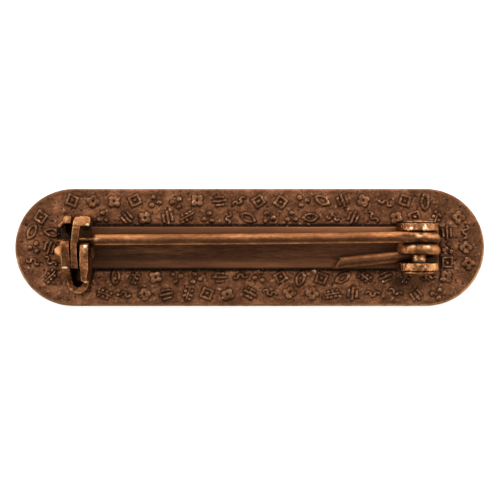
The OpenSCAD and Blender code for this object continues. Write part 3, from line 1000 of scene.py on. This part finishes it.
def noise_node(tree, place, scale, detail, roughness):
    """Noise from 0 to 1, with its scale in grains for each metre."""
    node = add_node(tree, "ShaderNodeTexNoise", Vector=place, Scale=scale, Detail=detail,
                    Roughness=roughness)
    return node.outputs["Fac"]


def ramp(tree, source, stops):
    """A colour or a grey value that follows a source through its stops."""
    node = add_node(tree, "ShaderNodeValToRGB", Fac=source)
    elements = node.color_ramp.elements
    while len(elements) < len(stops):
        elements.new(0.5)
    for element, (place, value) in zip(elements, stops):
        element.position = place
        element.color = (*value, 1) if isinstance(value, tuple) else (value, value, value, 1)
    return node.outputs["Color"]


def mix(tree, factor, a, b, blend="MIX"):
    """Two colours mixed; the node's sockets for colours have numbers of their own."""
    node = tree.nodes.new("ShaderNodeMix")
    node.data_type = "RGBA"
    node.blend_type = blend
    for socket, value in ((node.inputs["Factor"], factor), (node.inputs[6], a), (node.inputs[7], b)):
        feed(tree, socket, value)
    return node.outputs[2]


def times(tree, a, b):
    node = tree.nodes.new("ShaderNodeMath")
    node.operation = "MULTIPLY"
    feed(tree, node.inputs[0], a)
    feed(tree, node.inputs[1], b)
    return node.outputs[0]


def mark(tree, name):
    """A value that write_mark kept on the mesh."""
    node = tree.nodes.new("ShaderNodeAttribute")
    node.attribute_name = name
    return node.outputs["Fac"]


def grey(value):
    return (value, value, value, 1)


# Metals

def bronze(name, dark, body, light, rough, worn_rough, grit, spots, spot_size, glints, glint_size,
           stretch=(1, 1, 1)):
    """Antique bronze: mottled patina, grime and painted shade in the hollows and where metal shades metal,
    rubbed metal and painted highlights on what stands proud.

    Light is also the colour of rubbed metal and of painted highlights. Grit is the strength of the bump,
    spots and glints are that of flecks, the glints painted ones, with their sizes in mm, and stretch draws
    the grain out.
    """
    material = bpy.data.materials.new(name)
    material.use_nodes = True
    tree = material.node_tree
    tree.nodes.clear()
    out = add_node(tree, "ShaderNodeOutputMaterial")
    place = add_node(tree, "ShaderNodeTexCoord").outputs["Object"]
    drawn = add_node(tree, "ShaderNodeMapping", Vector=place, Scale=stretch).outputs["Vector"]
    cloud = noise_node(tree, place, 130.0, 2.0, 0.5)
    mottle = noise_node(tree, drawn, 700.0, 4.0, 0.6)
    speck = noise_node(tree, drawn, 1.0 / (spot_size * MM), 3.0, 0.65)
    sparkle = noise_node(tree, place, 1.0 / (glint_size * MM), 2.0, 0.5)

    # Patina
    colour = ramp(tree, mottle, [(0.3, dark), (0.5, body), (0.72, light)])
    spotted = ramp(tree, speck, [(0.34, 1 - spots), (0.5, 1.0), (0.66, 1 + spots)])
    colour = mix(tree, 1.0, colour, spotted, "MULTIPLY")
    colour = mix(tree, 1.0, colour, ramp(tree, cloud, [(0.3, 0.84), (0.7, 1.14)]), "MULTIPLY")
    roughness = ramp(tree, speck, [(0.3, rough + 0.1), (0.7, rough - 0.1)])

    # Rubbed metal with painted highlights, grime with painted shade, painted glints and painted highlights
    # on rubbed spots, each over the one before
    rub_and_highlight = times(tree, mark(tree, "wear_and_highlight"), ramp(tree, mottle, [(0.3, 0.4), (0.6, 1.0)]))
    dirt_and_shade = times(tree, mark(tree, "grime_and_shade"), 0.92)
    # The glints are painted: pale flecks of colour where the metal is worn.
    glint = times(tree, ramp(tree, sparkle, [(0.58, 0.0), (0.66, glints)]),
                  ramp(tree, mark(tree, "wear_and_highlight"), [(0.1, 0.1), (0.7, 1.0)]))
    polish_and_highlight = mark(tree, "polish_and_highlight")
    highlight_colour = ramp(tree, polish_and_highlight, [(0.56, HIGHLIGHT_RIM), (0.92, HIGHLIGHT_CORE)])
    glint_colour = (*[c ** 0.75 for c in light], 1)
    for amount, over in ((rub_and_highlight, (*light, 1)), (dirt_and_shade, (*SOOT_AND_SHADE, 1)), (glint, glint_colour),
                         (polish_and_highlight, highlight_colour)):
        colour = mix(tree, amount, colour, over)
    for amount, over in ((rub_and_highlight, worn_rough), (dirt_and_shade, DIRT_AND_SHADE_ROUGH), (glint, GLINT_ROUGH)):
        roughness = mix(tree, amount, roughness, grey(over))

    # Pits and dents
    pits = noise_node(tree, drawn, 5200.0, 4.0, 0.6)
    dents = noise_node(tree, drawn, 1700.0, 3.0, 0.5)
    pitted = add_node(tree, "ShaderNodeBump", Height=pits, Strength=0.55 * grit, Distance=0.00003)
    dented = add_node(tree, "ShaderNodeBump", Height=dents, Strength=0.65 * grit, Distance=0.00009,
                      Normal=pitted.outputs["Normal"])
    shader = add_node(tree, "ShaderNodeBsdfPrincipled", Base_Color=colour, Roughness=roughness, Metallic=1.0,
                      Specular_Tint=EDGE_TINT, Normal=dented.outputs["Normal"])
    tree.links.new(shader.outputs["BSDF"], out.inputs["Surface"])
    return material


def plate_bronze():
    """Dark cast bronze, lighter on the raised lines."""
    return bronze("plate_bronze", dark=(0.102, 0.041, 0.0185), body=(0.160, 0.063, 0.029),
                  light=(0.33, 0.14, 0.063), rough=0.5, worn_rough=0.32, grit=0.85, spots=0.36,
                  spot_size=0.2, glints=1.0, glint_size=0.34)


def strip_bronze():
    """The darkest metal, drawn along the strip and without glints."""
    return bronze("strip_bronze", dark=(0.074, 0.029, 0.0135), body=(0.099, 0.039, 0.0185),
                  light=(0.29, 0.114, 0.051), rough=0.46, worn_rough=0.38, grit=0.6, spots=0.3,
                  spot_size=0.14, glints=0.0, glint_size=0.3, stretch=(0.12, 1, 1))


def wire_bronze():
    """Smooth drawn wire, redder and lighter than the plate."""
    return bronze("wire_bronze", dark=(0.20, 0.076, 0.030), body=(0.30, 0.113, 0.044),
                  light=(0.55, 0.235, 0.09), rough=0.34, worn_rough=0.26, grit=0.5, spots=0.3,
                  spot_size=0.2, glints=0.4, glint_size=0.5, stretch=(0.4, 1, 1))


def catch_bronze():
    """Worked sheet, dark where it isn't handled and where shade is painted, light where it is handled and
    where highlights are painted.
    """
    return bronze("catch_bronze", dark=(0.070, 0.026, 0.011), body=(0.165, 0.060, 0.024),
                  light=(0.66, 0.265, 0.10), rough=0.38, worn_rough=0.34, grit=1.0, spots=0.5,
                  spot_size=0.26, glints=0.5, glint_size=0.4)


def ear_bronze():
    """The coarsest metal, with many glints."""
    return bronze("ear_bronze", dark=(0.08, 0.030, 0.013), body=(0.21, 0.080, 0.033),
                  light=(0.62, 0.27, 0.11), rough=0.34, worn_rough=0.26, grit=1.2, spots=0.7,
                  spot_size=0.3, glints=1.0, glint_size=0.5)


# Painted shade where metal shades metal

def metal_tree(pieces):
    """All the metal as one tree for rays."""
    whole = bmesh.new()
    for piece in pieces:
        whole.from_mesh(piece.data)
    tree = BVHTree.FromBMesh(whole)
    whole.free()
    return tree


def ray_fan(rays):
    """Directions spread over a half globe, as shares of two sides and of the normal."""
    golden = math.pi * (3 - math.sqrt(5))
    fan = []
    for k in range(rays):
        out = math.sqrt((k + 0.5) / rays)
        fan.append((out * math.cos(k * golden), out * math.sin(k * golden), math.sqrt(1 - out * out)))
    return fan


def paint_occlusion_shade(piece, tree, reach, shade_lo, shade_hi, rays=14, most=1.0):
    """Paint as shade what other metal within reach shades, more so from a faint share of shade to a full
    one.
    """
    fan = ray_fan(rays)
    mesh = piece.data
    shade = np.zeros(len(mesh.vertices))
    for i, v in enumerate(mesh.vertices):
        if v.co.z < BACK_Z * MM * 0.9:
            continue
        side = v.normal.orthogonal().normalized()
        other = v.normal.cross(side)
        start = v.co + v.normal * 0.02 * MM
        for a, b, c in fan:
            _, _, _, far = tree.ray_cast(start, side * a + other * b + v.normal * c, reach * MM)
            if far is not None:
                shade[i] += (1 - 0.5 * far / (reach * MM)) / rays
    write_mark(mesh, "grime_and_shade", np.maximum(read_mark(mesh, "grime_and_shade"), most * smoothstep(shade_lo, shade_hi, shade)))


# Stage, light and camera

def area_light(name, place, size, power):
    """A soft lamp that points at the middle of the badge."""
    data = bpy.data.lights.new(name, "AREA")
    data.shape = "RECTANGLE"
    data.size, data.size_y = size
    data.energy = power
    lamp = bpy.data.objects.new(name, data)
    lamp.location = place
    lamp.rotation_euler = (-Vector(place)).to_track_quat("-Z", "Y").to_euler()
    bpy.context.collection.objects.link(lamp)


def studio_world():
    """A light tent that is bright on the needle's side and at both ends, and dim on the tail's side."""
    world = bpy.data.worlds.new("studio")
    world.use_nodes = True
    tree = world.node_tree
    way = add_node(tree, "ShaderNodeTexCoord").outputs["Generated"]
    split = add_node(tree, "ShaderNodeSeparateXYZ", Vector=way)
    tones = []
    for axis, stops in (("Y", WORLD_ACROSS), ("X", WORLD_ALONG)):
        share = add_node(tree, "ShaderNodeMapRange", Value=split.outputs[axis], From_Min=-1.0, From_Max=1.0)
        tones.append(ramp(tree, share.outputs["Result"], stops))
    tone = mix(tree, 1.0, *tones, "ADD")
    tree.links.new(tone, tree.nodes["Background"].inputs["Color"])
    return world


def white_floor():
    """A bright white table, just under the badge."""
    bpy.ops.mesh.primitive_plane_add(size=3.0, location=(0, 0, -0.00002))
    floor = bpy.context.object
    floor.name = "floor"
    paint = bpy.data.materials.new("floor_white")
    paint.use_nodes = True
    shader = paint.node_tree.nodes["Principled BSDF"]
    shader.inputs["Base Color"].default_value = grey(0.6)
    shader.inputs["Roughness"].default_value = 0.9
    shader.inputs["Emission Color"].default_value = grey(1)
    shader.inputs["Emission Strength"].default_value = 0.7
    floor.data.materials.append(paint)
    return floor


def make_stage():
    """The table, the tent, a broad lamp on the needle's side and a small one for the glints."""
    floor = white_floor()
    bpy.context.scene.world = studio_world()
    area_light("key", place=(0.04, 0.38, 0.20), size=(0.44, 0.16), power=0.25)
    area_light("glint", place=(0.10, 0.30, 0.30), size=(0.05, 0.05), power=0.08)
    bpy.context.scene.view_settings.view_transform = "Standard"


def make_camera():
    """The camera looks straight down on the back, with the plate as wide as in the photo."""
    span = PLATE_L * IMAGE_PX / PLATE_PX
    data = bpy.data.cameras.new("camera")
    data.sensor_width = 36.0
    data.lens = data.sensor_width * CAMERA_UP / span
    data.clip_start = 0.005
    data.clip_end = 10.0
    camera = bpy.data.objects.new("camera", data)
    camera.location = (CAMERA_X * MM, CAMERA_Y * MM, (BACK_Z + CAMERA_UP) * MM)
    bpy.context.collection.objects.link(camera)
    bpy.context.scene.camera = camera


make_camera()
make_stage()

plate_metal = plate_bronze()
strip_metal = strip_bronze()
wire_metal = wire_bronze()
catch_metal = catch_bronze()
ear_metal = ear_bronze()

plate = finish_mesh("plate", plate_mesh(), plate_metal, "base")
strip = finish_mesh("strip", strip_mesh(), strip_metal, "base")
ear_needle_side = finish_mesh("ear_needle_side", ear_mesh(EAR_IN_HI, 1), ear_metal, "base")
ear_tail_side = finish_mesh("ear_tail_side", ear_mesh(EAR_IN_LO, -1), ear_metal, "base")
catch_frame = finish_mesh("catch_frame", catch_frame_mesh(), catch_metal, "base")
hinge_rivet = finish_mesh("hinge_rivet_piece", hinge_rivet_mesh(), ear_metal, "base")
catch_rivet = finish_mesh("catch_rivet_piece", catch_rivet_mesh(), catch_metal, "latch")
pin_wire = finish_mesh("pin_wire_piece", pin_wire_mesh(), wire_metal, "pin")
latch = finish_mesh("latch_piece", latch_mesh(), catch_metal, "latch")

badge_pieces = [plate, strip, ear_needle_side, ear_tail_side, catch_frame]
metal = metal_tree([*badge_pieces, hinge_rivet, catch_rivet, pin_wire, latch])
# Painted shade where other metal shades each piece: in seams, in the mouths and under the needle.
paint_occlusion_shade(plate, metal, reach=0.9, shade_lo=0.12, shade_hi=0.42)
paint_occlusion_shade(strip, metal, reach=3.4, shade_lo=0.06, shade_hi=0.5, rays=36, most=0.5)
for piece in (catch_frame, latch, catch_rivet):
    paint_occlusion_shade(piece, metal, reach=1.7, shade_lo=0.22, shade_hi=0.55, rays=20, most=0.9)
for piece in (ear_needle_side, ear_tail_side, hinge_rivet, pin_wire):
    paint_occlusion_shade(piece, metal, reach=0.9, shade_lo=0.16, shade_hi=0.46)

for piece in badge_pieces:
    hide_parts("badge_plate")
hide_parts("hinge_rivet")
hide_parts("catch_rivet")
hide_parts("pin_wire")
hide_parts("catch_latch")
